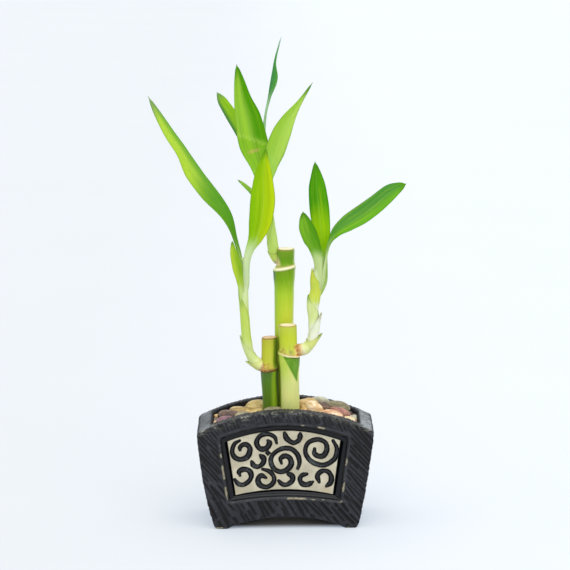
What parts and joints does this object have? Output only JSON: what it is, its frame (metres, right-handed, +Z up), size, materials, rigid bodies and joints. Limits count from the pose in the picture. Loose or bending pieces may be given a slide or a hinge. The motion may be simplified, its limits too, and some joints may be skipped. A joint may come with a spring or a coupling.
{
  "type": "lucky bamboo in a pot",
  "caption": "Cut lucky bamboo canes with leafy side shoots standing in river pebbles, in a dark fan-shaped stoneware pot with a cream scrolled front.",
  "frame": {"origin": "on the table plane under the middle of the whole object's bounding box; the pot's own middle lies at X = +0.0045 m", "axes": "+Z up, the pot's scrolled front faces -Y, +X to the viewer's right"},
  "size_m": [0.1608, 0.05, 0.3055],
  "materials": {
    "black_stoneware": "satin",
    "cream_clay": "matte",
    "river_pebble": "satin",
    "cane": "satin",
    "shoot": "satin",
    "leaf": "satin"
  },
  "bodies": {
    "root": {"pot": "black_stoneware", "panel": "cream_clay", "gravel": "river_pebble", "stalk_left": "cane", "stalk_front": "cane", "stalk_back": "cane", "shoot_left": "shoot", "shoot_right": "shoot", "shoot_back": "shoot", "leaf_left_long": "leaf", "leaf_left_front": "leaf", "leaf_left_small": "leaf", "leaf_back_broad": "leaf", "leaf_back_right": "leaf", "leaf_back_rear": "leaf", "leaf_back_top": "leaf", "leaf_back_small": "leaf", "leaf_right_upright": "leaf", "leaf_right_small": "leaf", "leaf_right_long": "leaf"}
  },
  "joints": []
}
